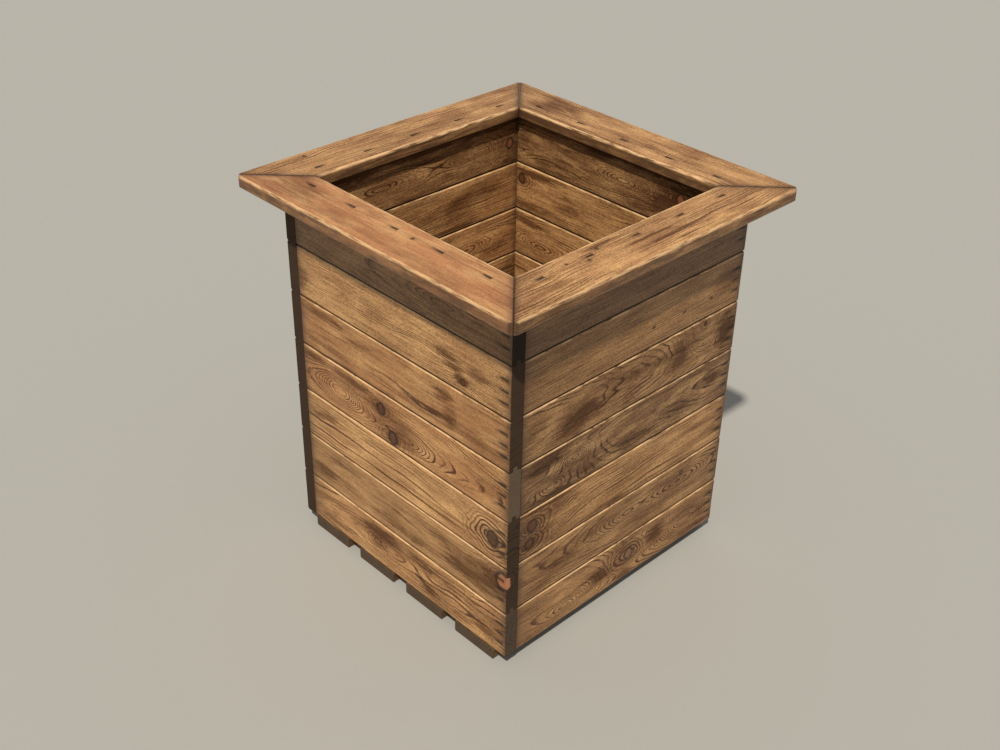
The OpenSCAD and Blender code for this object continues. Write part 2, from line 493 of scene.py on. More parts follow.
# Painted shade: besides the stain pooled in the V, the lowest few millimetres of each board above a
# joint are darkened as if in shadow.
under = 1.0 - net.step(z, 1.6, 5.0)
over = 1.0 - net.step(given["Width"] - z, 0.5, 1.7)
joint_stain_and_shade = net.most(under, over) * given["Joint"]
wood = net.blend(joint_stain_and_shade * 0.94, wood, JOINT_BLACK)
print("nodes with the wear", len(net.tree.nodes))

# %% [markdown]
# ## Ends and surface
# End grain drinks stain, so the last few centimetres of a board darken towards the saw cut,
# and the cut itself is nearly black. The clipped tip of a mitred board is sawn too. The film
# of the stain has a low satin shine that is missing where the wood soaked it up, and the
# height for the bump follows the lines, the fibre and the knots.

# %% Stained pine: ends and surface
DRAWN_STAIN = (0.075, 0.033, 0.015, 1.0)
END_RING = (0.01, 0.006, 0.004, 1.0)
END_DUST = (0.07, 0.045, 0.028, 1.0)

wood = net.blend(given["Streak"] * 0.9, wood, BARK_BLACK)
drawn = 1.0 - net.step(from_end + (patch - 0.5) * 22.0, -4.0, 16.0)
drawn = drawn * 0.55 + (1.0 - net.step(from_end + (cloud - 0.5) * 130.0, -20.0, 60.0)) * 0.3
wood = net.blend(drawn * (1.0 - given["Core"] * 0.85), wood, DRAWN_STAIN)
sawn = 1.0 - net.step(from_end, 0.3, given["Mitre"] * 3.0 + 0.9)
tip = 1.0 - net.step(from_tip, 0.3, 0.9)
sawn = net.most(sawn, tip * 0.6)
end_speck = net.noise(net.vector(x, y / 0.9, z / 0.9), detail=2.0)
end_wood = net.blend(given["Latewood"] * 0.6, given["End colour"], END_RING)
end_wood = net.blend(net.step(end_speck, 0.5, 0.8) * 0.2, end_wood, END_DUST)
end_wood = net.blend(given["Core"] * 0.8, end_wood, given["Knot colour"])
wood = net.blend(sawn, wood, end_wood)

satin = 0.5 + sawn * 0.4 + soaked_and_shaded * 0.1 + (given["Fibre"] - 0.5) * 0.16
relief = lines * 0.5 + given["Fibre"] * 0.35 + chatter * 0.4 - given["Pores"] * 0.25
relief = relief - given["Bark"] * 0.6 + given["Core"] * 0.2 - given["Streak"] * 0.6
relief = relief + sawn * end_speck * 0.9
film = (1.0 - sawn) * (1.0 - soaked_and_shaded * 0.7) * 0.5
PINE = finish_group(net, sink, Colour=wood, Roughness=satin, Coat=film, Height=relief)

# %% [markdown]
# ## Swells
# Where a trunk bulges, the rings come to the face as nested ovals with no knot in the middle.
# A swell is only a push on the ring distance, so it can sit anywhere along a board. It also
# says where its own rings must show.

# %% Swell group
net, given, sink = new_group(
    "swell",
    {
        "Position": (0.0, 0.0, 0.0), "Along": 100.0, "Across": 44.0,
        "Half length": 60.0, "Half width": 20.0, "Lift": 20.0,
    },
    {"Push": 1, "Show": 1},
)
x, y, z = net.split(given["Position"])
along = (x - given["Along"]) / given["Half length"]
across = (z - given["Across"]) / given["Half width"]
away = net.length(along, across)
SWELL = finish_group(net, sink, Push=given["Lift"] / (away * away + 1.0), Show=net.bell(away, 1.5))

# %% [markdown]
# ## One material for one board
# No two boards come from the same place in a tree, so every board has its own material. They
# all share the groups above, and a board only says where its pith lay, which tone the stain
# took, and where its knots, swells and smudges are, in millimetres from its left end and its
# bottom edge. The shader itself stays outside the groups. A tone is the colour of the early
# wood and of the late wood, which LATE_DEPTH darkens a little, and every tone glows in the
# same amber.

# %% Stain tones
MM_PER_M = 1000.0
LATE_DEPTH = 0.85
GLOW = (0.96, 0.54, 0.21)
TONES = {
    "gold": ((0.61, 0.315, 0.118), (0.125, 0.045, 0.014)),
    "honey": ((0.54, 0.265, 0.096), (0.115, 0.039, 0.012)),
    "brown": ((0.43, 0.205, 0.078), (0.095, 0.033, 0.011)),
    "amber": ((0.59, 0.272, 0.096), (0.12, 0.04, 0.012)),
    "russet": ((0.62, 0.262, 0.098), (0.14, 0.045, 0.013)),
    "umber": ((0.33, 0.165, 0.068), (0.07, 0.026, 0.01)),
}
print("tones", ", ".join(TONES))


def opaque(rgb, strength=1.0):
    """The colour at this strength, with nothing see-through."""
    return (*[channel * strength for channel in rgb], 1.0)


# %% [markdown]
# ## Starting and finishing a material
# The stained timber and the staple wire start and end alike: both need the place on the piece
# in millimetres, and both put a colour and a bump on one Principled shader. Values that are the
# same all over are set on the shader itself, so that an export can read them.

# %% Material helpers
def start_material(name):
    """A new material, its net, and the place on the piece in millimetres."""
    material = bpy.data.materials.new(name)
    material.use_nodes = True
    material.node_tree.nodes.clear()
    net = Net(material.node_tree)
    coords = net.node("ShaderNodeTexCoord")
    scaled = net.node("ShaderNodeVectorMath", operation="SCALE")
    net.plug(scaled.inputs[0], Wire(net, coords.outputs["Object"]))
    scaled.inputs["Scale"].default_value = MM_PER_M
    return material, net, Wire(net, scaled.outputs[0])


def finish_material(net, height, bump_strength, bump_mm, **inputs):
    """Add the bump and the shader. An underscore in a name stands for the space in its label."""
    bump = net.node("ShaderNodeBump")
    bump.inputs["Strength"].default_value = bump_strength
    bump.inputs["Distance"].default_value = bump_mm / MM_PER_M
    net.plug(bump.inputs["Height"], height)
    shader = net.node("ShaderNodeBsdfPrincipled")
    for name, value in inputs.items():
        net.plug(shader.inputs[name.replace("_", " ")], value)
    net.plug(shader.inputs["Normal"], Wire(net, bump.outputs["Normal"]))
    output = net.node("ShaderNodeOutputMaterial")
    net.plug(output.inputs["Surface"], Wire(net, shader.outputs[0]))


# %% [markdown]
# ## The board's material
# Each swell, knot and smudge in a board's look places one group. Their masks are joined by
# taking the larger, and their pushes and shifts add up, so that the rings bend round all of
# them at once.

# %% Board material
def pine_material(name, size, look, seed):
    """Stained pine for a piece of this length, thickness and width in millimetres."""
    material, net, place = start_material(name)
    push, shift, show, smudge_and_shade, streak = (0.0,) * 5
    knotty = dict.fromkeys(("Core", "Bark", "Halo", "Rings", "Whorl", "Hold"), 0.0)
    for along, across, half_length, half_width, lift in look.get("swells", ()):
        swell = net.group(
            SWELL, Position=place, Along=along, Across=across,
            Half_length=half_length, Half_width=half_width, Lift=lift,
        )
        push = swell["Push"] + push
        show = net.most(swell["Show"], show)
    for number, (along, across, radius, stretch, lift) in enumerate(look.get("knots", ())):
        knot = net.group(
            KNOT, Position=place, Along=along, Across=across, Radius=radius,
            Stretch=stretch, Lift=lift, Depth=look.get("knot_depth", 0.0), Seed=seed + number,
        )
        push = knot["Push"] + push
        shift = knot["Shift"] + shift
        show = net.most(knot["Halo"], show)
        for label, so_far in knotty.items():
            knotty[label] = net.most(knot[label], so_far)
    for number, (along, across, half_length, half_width, depth) in enumerate(look.get("smudges_and_shade", ())):
        mark = net.group(
            SMUDGE_AND_SHADE, Position=place, Along=along, Across=across,
            Half_length=half_length, Half_width=half_width, Seed=seed + number,
        )
        smudge_and_shade = net.most(mark["Mask"] * depth, smudge_and_shade)
    for row in look.get("streaks", ()):
        streak = net.most(net.group(STREAK, Position=place, **row)["Mask"], streak)

    pith_depth, pith_height = look["pith"]
    rings = net.group(
        RINGS, Position=place, Pith_depth=pith_depth, Pith_height=pith_height,
        Taper=look.get("taper", 0.04), Ring_width=look.get("ring", 3.5),
        Wander=look.get("wander", 8.0), Push=push, Shift=shift, Show=show, Seed=seed,
    )
    latewood = rings["Latewood"]
    if look.get("knots"):
        latewood = net.most(latewood * (1.0 - knotty["Hold"] * 0.8), knotty["Whorl"])
    strength = look.get("strength", 1.0)
    early, late = TONES[look["tone"]]
    length, thickness, width = size
    pine = net.group(
        PINE, Position=place, Length=length, Thickness=thickness, Width=width,
        Latewood=latewood, Zone=rings["Zone"], Fibre=rings["Fibre"], Pores=rings["Pores"],
        Core=knotty["Core"], Bark=knotty["Bark"], Halo=knotty["Halo"], Knot_rings=knotty["Rings"],
        Smudge=smudge_and_shade, Streak=streak, Early_colour=opaque(early, strength),
        Late_colour=opaque(late, strength * LATE_DEPTH), Glow_colour=opaque(GLOW, strength),
        Knot_colour=opaque(look.get("knot_colour", (0.17, 0.06, 0.025))),
        End_colour=opaque(look.get("end_colour", (0.062, 0.037, 0.022))),
        Figure=look.get("figure", 1.1), Grain=look.get("grain", 1.0),
        Mottle=look.get("mottle", 0.6), Glow=look.get("glow", 0.45),
        Mitre=look.get("mitre", 0.0), Joint=look.get("joint", 1.0), Wear=look.get("wear_and_highlight", 0.55),
        Seed=seed,
    )
    finish_material(
        net, pine["Height"], bump_strength=0.55, bump_mm=0.5,
        Base_Color=pine["Colour"], Roughness=pine["Roughness"], Specular_IOR_Level=0.12,
        Coat_Weight=pine["Coat"], Coat_Roughness=0.36,
    )
    return material


# %% [markdown]
# ## Swept bars
# Every timber here is a bar: one outline carried along its length. Sweeping a loop of points by
# hand keeps the mesh an even grid of quads, which a modelling primitive would not give. The
# grid lets the planed faces be a little wavy, and leaves a quad exactly where each staple goes,
# so that its slot can be pushed in. A bevel modifier then rounds every sharp edge.

# %% Bar helpers
METRES_PER_MM = 1.0 / MM_PER_M
GRID_MM = 5.0
print("grid", GRID_MM, "mm")


def subdivide(low, high, gaps=(), stops=()):
    """Places about a grid step apart, with exact places at every stop and at both ends of every gap."""
    fixed = sorted({low, high, *stops, *[edge for gap in gaps for edge in gap]})
    places = [low]
    for start, end in zip(fixed, fixed[1:]):
        count = 1 if (start, end) in gaps else max(1, round((end - start) / GRID_MM))
        places += [start + (end - start) * n / count for n in range(1, count + 1)]
    return places


def corner_arc(centre, radius, start, end, segments=4):
    """Points round one corner of a section, from one angle to another in degrees."""
    angles = [math.radians(start + (end - start) * n / segments) for n in range(segments + 1)]
    return [(centre[0] + radius * math.cos(a), centre[1] + radius * math.sin(a)) for a in angles]


def wave(x, y, z, seed):
    """Slow waviness from 0 to 1, as a planer leaves."""
    value = noise.noise(Vector((x / 90.0 + seed * 7.3, y / 60.0, z / 50.0 + seed * 3.1)))
    return min(max(value + 0.5, 0.0), 1.0)


def sweep(name, outline, stations, place, slots=(), cap_fold=None):
    """Mesh object whose outline (y, z) is carried over the stations. place(x, y, z) finishes each point.

    slots are (x, y, z, depth) in millimetres: the quad whose middle is there is pushed in.
    cap_fold is the z where an end cap that isn't flat is folded.
    """
    vertices = []
    for station in stations:
        vertices += [place(station, y, z) for y, z in outline]
    count = len(outline)
    faces = []
    for ring in range(len(stations) - 1):
        for n in range(count):
            near = ring * count
            far = near + count
            after = (n + 1) % count
            faces.append((near + n, near + after, far + after, far + n))
    faces.append(tuple(reversed(range(count))))
    faces.append(tuple(range((len(stations) - 1) * count, len(stations) * count)))
    mesh = bpy.data.meshes.new(name)
    mesh.from_pydata([Vector(v) * METRES_PER_MM for v in vertices], [], faces)

    shape = bmesh.new()
    shape.from_mesh(mesh)
    bmesh.ops.recalc_face_normals(shape, faces=shape.faces)
    if cap_fold is not None:
        fold = [n for n, (y, z) in enumerate(outline) if z == cap_fold]
        shape.faces.ensure_lookup_table()
        for cap in shape.faces[-2:]:
            ends = [v for v in cap.verts if v.index % count in fold]
            bmesh.utils.face_split(cap, *ends)
    for x, y, z, depth in slots:
        middle = Vector((x, y, z)) * METRES_PER_MM
        quad = min(shape.faces, key=lambda face: (face.calc_center_median() - middle).length)
        bmesh.ops.inset_individual(shape, faces=[quad], thickness=0.0, depth=-depth * METRES_PER_MM)
    shape.to_mesh(mesh)
    shape.free()
    piece = bpy.data.objects.new(name, mesh)
    bpy.context.scene.collection.objects.link(piece)
    return piece


def soften(piece, width_mm):
    """Round every sharp edge and shade the rest smooth."""
    piece.data.shade_smooth()
    bevel = piece.modifiers.new("rounded arrises", "BEVEL")
    bevel.width = width_mm * METRES_PER_MM
    bevel.segments = 2
    bevel.limit_method = "ANGLE"
    bevel.angle_limit = math.radians(28.0)
    bevel.harden_normals = True
    bevel.miter_outer = "MITER_ARC"


# %% [markdown]
# ## Finding a board's own frame
# The four walls are the same wall turned by quarter turns, so each is built as if it were the
# front wall and then turned. The place and size of a piece come from the corners of its CAD
# node, seen from that turned frame.

# %% Placing pieces by their CAD nodes
WALLS = ("front", "right", "back", "left")


def quarter_turn(wall):
    """From the front wall's frame to this wall's."""
    return Matrix.Rotation(math.radians(90.0) * wall, 4, "Z")


def local_box(node, turn):
    """Lowest corner in metres and size in millimetres of a node, seen from a turned frame."""
    ends = [turn.inverted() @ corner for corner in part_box(node)]
    low = Vector([min(a, b) for a, b in zip(*ends)])
    high = Vector([max(a, b) for a, b in zip(*ends)])
    return low, (high - low) * MM_PER_M


def install(piece, node, turn, corner, material):
    """Put a finished piece where its CAD node is."""
    piece.matrix_world = turn @ Matrix.Translation(corner)
    piece.data.materials.append(material)
    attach(piece, "root")
    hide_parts(node)


first_board = local_box("front_board_1", quarter_turn(0))[1]
BOARD_LENGTH = first_board.x
BOARD_THICKNESS = first_board.y
print("wall board", round(BOARD_LENGTH, 2), "x", round(BOARD_THICKNESS, 2), "mm")

# %% [markdown]
# ## The wall boards
# A tongue-and-groove board has a V chamfer on its long edges, a tongue on top and a groove
# below. The top row has no tongue and the bottom row no groove, because they were ripped off.
# The far end of each board laps over the end of the next wall's board, and three staples hold
# it there. Their slots are part of the board's mesh, a little wider than the wire, and as deep
# as the crown is sunk and thick. No two boards are cut and laid quite alike, so each is settled
# a fraction of a millimetre inwards, and its lapping end is sawn a little short, which only
# the last fortieth of its length takes up.

# %% Sizes that the walls share
ROWS = 7
ROW_PITCH = (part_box("front_board_2")[0].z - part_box("front_board_1")[0].z) * MM_PER_M
CHAMFER = 2.5
TONGUE_THICKNESS = 8.0
TONGUE_HEIGHT = 7.0
TONGUE_GAP = 0.4
STAPLE_CROWN = 12.2
STAPLE_SLOT = 1.8
SLOT_DEPTH = 2.4
END_PITCH = 19.0
WAVE_MM = 0.3
ARRIS_MM = 0.55
MOST_SETTLED = 0.4
MOST_SHORT = 0.7
END_SHARE = 40.0
print("row pitch", round(ROW_PITCH, 2), "mm")


def around(middle, width):
    """The two ends of a stretch."""
    return (middle - width / 2, middle + width / 2)


def planed(x, y, z, thickness, seed):
    """How far the planer left this point from true, towards the middle of the bar."""
    return (1.0 - 2.0 * y / thickness) * WAVE_MM * wave(x, y, z, seed)


# %% [markdown]
# ## Section of a wall board
# The section is one loop of points round the board. The faces are divided into a grid and the
# chamfers, tongue and groove are not, because only the broad faces show the planer's waves.

# %% Section of a wall board
def board_outline(thickness, slot_rows, tongue_height):
    """Section of a wall board as (y, z) points, up the outer face and down the inner one.

    tongue_height is 0 at the top or the bottom where there is no tongue or groove.
    """
    low, high = CHAMFER, ROW_PITCH - CHAMFER
    gaps = [around(z, STAPLE_SLOT) for z in slot_rows]
    outer = [(0.0, z) for z in subdivide(low, high, gaps)]
    inner = [(thickness, z) for z in reversed(subdivide(low, high))]
    top = [(CHAMFER, ROW_PITCH)]
    middle = thickness / 2
    if tongue_height["top"] > 0:
        peak = ROW_PITCH + tongue_height["top"]
        near, far = around(middle, TONGUE_THICKNESS)
        top += [(near, ROW_PITCH), (near, peak), (far, peak), (far, ROW_PITCH)]
    top.append((thickness - CHAMFER, ROW_PITCH))
    bottom = [(thickness - CHAMFER, 0.0)]
    if tongue_height["bottom"] > 0:
        depth = tongue_height["bottom"] + TONGUE_GAP
        near, far = around(middle, TONGUE_THICKNESS + 2 * TONGUE_GAP)
        bottom += [(far, 0.0), (far, depth), (near, depth), (near, 0.0)]
    bottom.append((CHAMFER, 0.0))
    return outer + top + inner + bottom


plain_section = board_outline(BOARD_THICKNESS, (), {"top": 0.0, "bottom": 0.0})
print("points in a section without tongue or groove", len(plain_section))


# %% [markdown]
# ## Building a wall board
# The board is swept along its section with a station at each side of the slots, then softened,
# stained and put where its CAD node is. The seeded draws are named after the board, so adding
# or leaving out another board never changes this one.

# %% Build one wall board
def wall_board(wall, row, look):
    """Build one wall board where its CAD node is."""
    node = f"{WALLS[wall]}_board_{row}"
    turn = quarter_turn(wall)
    corner, size = local_box(node, turn)
    length, thickness, height = size
    rng = random.Random(f"{node} settle")
    settle = rng.uniform(0.0, MOST_SETTLED)
    short = rng.uniform(0.0, MOST_SHORT)
    seed = wall * 10 + row
    tongue_height = {"top": height - ROW_PITCH, "bottom": TONGUE_HEIGHT if row > 1 else 0.0}
    staple_x = length - thickness / 2
    slot_rows = [ROW_PITCH / 2 + step * END_PITCH for step in (-1, 0, 1)]
    stations = subdivide(0.0, length, [around(staple_x, STAPLE_CROWN)])

    def place(x, y, z):
        in_end = max(0.0, x / length * END_SHARE - (END_SHARE - 1.0))
        return (x - short * in_end, y + planed(x, y, z, thickness, seed) + settle, z)

    piece = sweep(
        f"{node}_timber", board_outline(thickness, slot_rows, tongue_height), stations, place,
        slots=[(staple_x, settle, z, SLOT_DEPTH) for z in slot_rows],
    )
    soften(piece, ARRIS_MM)
    look = {"streaks": [dict(Along=staple_x, Across=ROW_PITCH / 2)], **look}
    material = pine_material(f"{node} stain", (length - short, thickness, ROW_PITCH), look, seed)
    install(piece, node, turn, corner, material)


# %% [markdown]
# ## The figure of each board
# The boards that matter most get their knots and figure listed one by one. Every other board draws a
# believable one from a seeded random stream, so the back of the box is as finished as the
# front. Lengths are in millimetres: x from the board's left end as you face its wall from
# outside, z from its bottom edge. A knot is (x, z, radius, stretch, lift), a swell is
# (x, z, half length, half width, lift) and a smudge is (x, z, half length, half width, depth).
# pith says how deep behind the face and how high the middle of the tree lay, and ring how wide
# its rings are. strength lightens or darkens the tone, and figure, grain, mottle, glow and wear
# say how strongly the lines, the fibre, the clouds of stain, the amber and the lightened arrises
# show; the arrises are rubbed stain and, on their upper side, also a painted highlight. A smudge
# darkens the wood like stain, but the long smudge on top of an inner top board is painted shade.

# %% Listed figures
FIGURES = {
    # This top row lies in the rim's shadow; its darker tone and nearly black end colour are partly
    # painted shade.
    "front_board_7": dict(
        tone="honey", strength=0.53, pith=(40, 40), taper=0.05, ring=5.0, wander=6.0, figure=0.7,
        mottle=0.4, glow=0.2, end_colour=(0.032, 0.022, 0.016),
        swells=[(330, 36, 60, 14, -22)],
    ),
    "front_board_6": dict(
        tone="gold", strength=0.92, pith=(30, 128), taper=0.02, ring=3.2, wander=6.0, figure=1.0,
        mottle=0.35, glow=0.5,
        swells=[(300, 44, 90, 16, 16)],
        knots=[(379, 18, 4.6, 4.0, 16)],
        smudges_and_shade=[
            (4, 36, 24, 20, 0.8), (346, 48, 34, 8, 1.0), (362, 34, 24, 9, 1.0),
            (374, 22, 16, 9, 1.0), (412, 42, 30, 12, 0.55), (230, 8, 70, 7, 0.35),
        ],
    ),
    "front_board_5": dict(
        tone="amber", strength=0.87, pith=(34, -40), taper=0.01, ring=7.0, wander=7.0, figure=0.8,
        grain=0.7, mottle=0.45,
        swells=[(300, 20, 90, 9, 12)],
        smudges_and_shade=[
            (339, 66, 26, 12, 0.8), (352, 34, 18, 30, 0.55), (60, 74, 60, 10, 0.6),
            (150, 60, 60, 8, 0.4),
        ],
    ),
    "front_board_4": dict(
        tone="amber", strength=0.96, pith=(44, 36), taper=-0.075, ring=4.0, wander=6.0, figure=1.7,
        grain=0.8, mottle=0.4, end_colour=(0.15, 0.1, 0.063),
        swells=[(92, 42, 58, 30, -52), (246, 28, 60, 18, -38)],
        knots=[(194, 57, 9.0, 3.0, 14), (221, 16, 10.5, 3.0, 14)],
        smudges_and_shade=[
            (250, 34, 34, 22, 0.4), (120, 74, 70, 8, 0.6), (30, 76, 40, 10, 0.6),
            (430, 40, 30, 20, 0.3),
        ],
    ),
    "front_board_3": dict(
        tone="gold", strength=1.0, pith=(30, -44), taper=0.012, ring=6.0, wander=7.0, figure=1.5,
        grain=0.8, mottle=0.25, glow=0.65, knot_colour=(0.1, 0.042, 0.02),
        knots=[(444, 42, 12.5, 2.8, 60)],
        smudges_and_shade=[(50, 56, 50, 12, 0.75), (300, 20, 170, 3, 0.6), (360, 30, 100, 3, 0.5)],
    ),
    "front_board_2": dict(
        tone="gold", strength=0.84, pith=(52, 130), taper=0.02, ring=5.0, wander=10.0, figure=0.8,
        grain=0.7, mottle=0.5, knot_colour=(0.64, 0.27, 0.12), knot_depth=1.0,
        knots=[(467, 62, 13.5, 2.0, 30)],
        smudges_and_shade=[(410, 38, 80, 30, 0.75), (250, 16, 50, 9, 0.4), (40, 30, 40, 16, 0.5)],
    ),
    "front_board_1": dict(
        tone="honey", strength=0.97, pith=(46, 46), taper=0.04, ring=4.5, wander=8.0, figure=1.35,
        mottle=0.5, end_colour=(0.095, 0.065, 0.045),
        swells=[(205, 45, 44, 15, -28), (330, 30, 70, 10, -16)],
        smudges_and_shade=[
            (186, 68, 46, 16, 0.85), (170, 44, 30, 14, 0.6), (285, 66, 44, 15, 0.8),
            (303, 22, 24, 12, 0.7), (430, 28, 26, 12, 0.7), (60, 20, 60, 12, 0.5),
        ],
    ),
    # This top row lies in the rim's shadow; its darker tone is partly painted shade.
    "right_board_7": dict(
        tone="brown", strength=0.5, pith=(40, -30), taper=0.01, ring=5.0, figure=0.7, mottle=0.35,
        glow=0.15,
    ),
    "right_board_6": dict(
        tone="honey", strength=0.65, pith=(30, 130), taper=0.01, ring=3.6, wander=5.0, mottle=0.35,
        glow=0.3,
        smudges_and_shade=[
            (269, 33, 5, 3, 0.9), (339, 33, 5, 3, 0.9), (403, 33, 6, 3, 0.9),
            (440, 50, 40, 30, 0.4),
        ],
    ),
    "right_board_5": dict(
        tone="honey", strength=0.67, pith=(46, 56), taper=-0.06, ring=3.8, wander=8.0, figure=1.6,
        mottle=0.65, glow=0.6,
        swells=[(396, 74, 40, 34, 80)],
        smudges_and_shade=[
            (109, 34, 66, 26, 0.8), (330, 44, 50, 30, 0.55), (452, 46, 26, 34, 0.9),
            (30, 60, 30, 14, 0.4),
        ],
    ),
    "right_board_4": dict(
        tone="brown", strength=0.61, pith=(40, 48), taper=0.05, ring=4.2, wander=9.0, figure=1.6,
        mottle=0.6, glow=0.7,
        swells=[(113, 52, 30, 14, 44), (60, 24, 40, 14, 30)],
        smudges_and_shade=[
            (74, 7, 60, 6, 1.0), (426, 52, 30, 18, 0.9), (230, 20, 60, 16, 0.6),
            (50, 66, 50, 12, 0.6),
        ],
    ),
    "right_board_3": dict(
        tone="honey", strength=0.86, pith=(38, -30), taper=0.015, ring=5.0, wander=7.0, figure=1.6,
        mottle=0.4,
        knots=[(26, 57, 10.0, 3.0, 46), (21, 26, 9.0, 3.4, 44)],
        smudges_and_shade=[(240, 8, 200, 4, 0.5), (60, 82, 80, 5, 0.8)],
    ),
    "right_board_2": dict(
        tone="honey", strength=0.74, pith=(44, 58), taper=0.05, ring=4.0, wander=8.0, figure=1.7,
        mottle=0.5, glow=0.5,
        swells=[(236, 52, 50, 18, -30), (366, 50, 76, 24, -50)],
        knots=[(376, 65, 4.0, 4.0, 6)],
        smudges_and_shade=[(80, 30, 60, 20, 0.4)],
    ),
    "right_board_1": dict(
        tone="honey", strength=0.78, pith=(44, 42), taper=-0.06, ring=3.8, wander=8.0, figure=1.7,
        mottle=0.55, knot_colour=(0.36, 0.17, 0.09),
        swells=[(108, 27, 44, 14, -28), (400, 40, 60, 26, -50)],
        knots=[(256, 48, 10.0, 3.4, 60)],
        smudges_and_shade=[
            (322, 56, 30, 26, 0.9), (249, 10, 30, 9, 0.8), (186, 40, 30, 20, 0.65),
            (420, 12, 60, 8, 0.5),
        ],
    ),
    "left_board_7": dict(
        tone="brown", strength=0.85, pith=(-22, 44), taper=0.07, ring=3.8, wander=10.0, figure=1.3,
        mottle=0.65, knot_colour=(0.36, 0.12, 0.05),
        swells=[(110, 42, 50, 15, -36), (300, 42, 60, 15, -26)],
        knots=[(20, 40, 8.0, 4.0, 16)],
        # This long smudge along the top is painted shade: the rim's shadow on the board.
        smudges_and_shade=[(238, 84, 400, 12, 1.0)],
    ),
    "left_board_6": dict(
        tone="honey", strength=0.96, pith=(-20, 120), taper=0.02, ring=3.6, figure=1.3, mottle=0.6,
        smudges_and_shade=[(150, 6, 60, 6, 0.9)],
    ),
    "left_board_5": dict(
        tone="honey", strength=1.1, pith=(-22, 44), taper=-0.06, ring=3.6, wander=10.0, figure=1.3,
        mottle=0.6,
        swells=[(120, 44, 50, 18, -36)],
    ),
    "back_board_7": dict(
        tone="brown", strength=0.76, pith=(-22, 48), taper=0.05, ring=3.6, wander=9.0, figure=1.3,
        mottle=0.7, glow=0.6, knot_colour=(0.36, 0.12, 0.05),
        swells=[(205, 46, 60, 16, -36)],
        knots=[(90, 52, 8.0, 3.0, 30)],
        # The first smudge, along the whole top, is painted shade from the rim; the other two are stain.
        smudges_and_shade=[(238, 84, 400, 10, 0.9), (130, 36, 40, 20, 0.8), (440, 50, 30, 14, 0.7)],
    ),
    "back_board_6": dict(
        tone="gold", strength=1.0, pith=(-30, 110), taper=0.02, ring=3.8, wander=10.0, figure=1.3,
        mottle=0.6,
        knots=[(440, 60, 8.0, 3.0, 24)],
        smudges_and_shade=[(400, 76, 60, 8, 0.9), (330, 40, 40, 16, 0.5)],
    ),
    "back_board_5": dict(
        tone="gold", strength=0.99, pith=(-22, 44), taper=-0.08, ring=3.6, wander=9.0, figure=1.5,
        mottle=0.5,
        swells=[(400, 30, 70, 20, -40)],
        smudges_and_shade=[(420, 70, 60, 8, 0.9)],
    ),
}


def random_figure(node, length, width):
    """A believable figure for a board that is seldom seen."""
    rng = random.Random(f"{node} figure")
    flat_sawn = rng.random() < 0.6
    pith_height = rng.uniform(0.3, 0.7) * width if flat_sawn else rng.choice((-24.0, width + 24.0))
    knots = []
    for _ in range(rng.choice((0, 1, 1, 2))):
        knots.append((
            rng.uniform(0.08, 0.92) * length,
            rng.uniform(0.2, 0.8) * width,
            rng.uniform(3.5, 11.0),
            rng.uniform(3.0, 4.5),
            rng.uniform(8.0, 16.0),
        ))
    smudges_and_shade = []
    for _ in range(rng.choice((1, 2, 3))):
        smudges_and_shade.append((
            rng.uniform(0.05, 0.95) * length,
            rng.uniform(0.1, 0.9) * width,
            rng.uniform(14.0, 50.0),
            rng.uniform(6.0, 18.0),
            rng.uniform(0.3, 0.7),
        ))
    return dict(
        tone=rng.choice(("gold", "honey", "honey", "brown", "amber")),
        pith=(rng.choice((-24.0, 46.0)), pith_height),
        taper=rng.choice((-1, 1)) * rng.uniform(0.01, 0.06),
        ring=rng.uniform(3.8, 5.5),
        wander=rng.uniform(6.0, 11.0),
        knots=knots,
        smudges_and_shade=smudges_and_shade,
    )


print("boards with a hand-made figure", len(FIGURES))

# %% [markdown]
# ## Building the walls
# With the section, the material and the figures ready, the four walls are one loop.

# %% Build the 28 wall boards
for wall in range(len(WALLS)):
    for row in range(1, ROWS + 1):
        node = f"{WALLS[wall]}_board_{row}"
        look = FIGURES.get(node) or random_figure(node, BOARD_LENGTH, ROW_PITCH)
        wall_board(wall, row, look)
print("wall boards", len(WALLS) * ROWS)

# %% [markdown]
# ## The rim
# Four wider boards lie flat on the walls and meet in mitres, with the sharp outer tips cut off
# and every long edge run over with a router. A rim board is a wall board lying down, so its
# frame is tipped forward: y now counts down from the top face and z inwards from the outer
# edge. The middle of the bar keeps straight stations, so that the staple slots stay square,
# and only the last stretch fans out to the slanted mitre. The staples stand at the middle and
# RIM_STEPS steps to each side of it.

# %% Sizes and figures of the rim
RIM_ROUND = 3.0
RIM_STAPLE_FROM_EDGE = 62.0
RIM_STAPLE_PITCH = 95.0
MITRE_GAP = 0.2
RIM_STEPS = 2
RIM_SEED = 60
STRAIGHT_HALF = 204.0
FAN_STEPS = 12
LIE_DOWN = Matrix.Rotation(math.radians(-90.0), 4, "X")

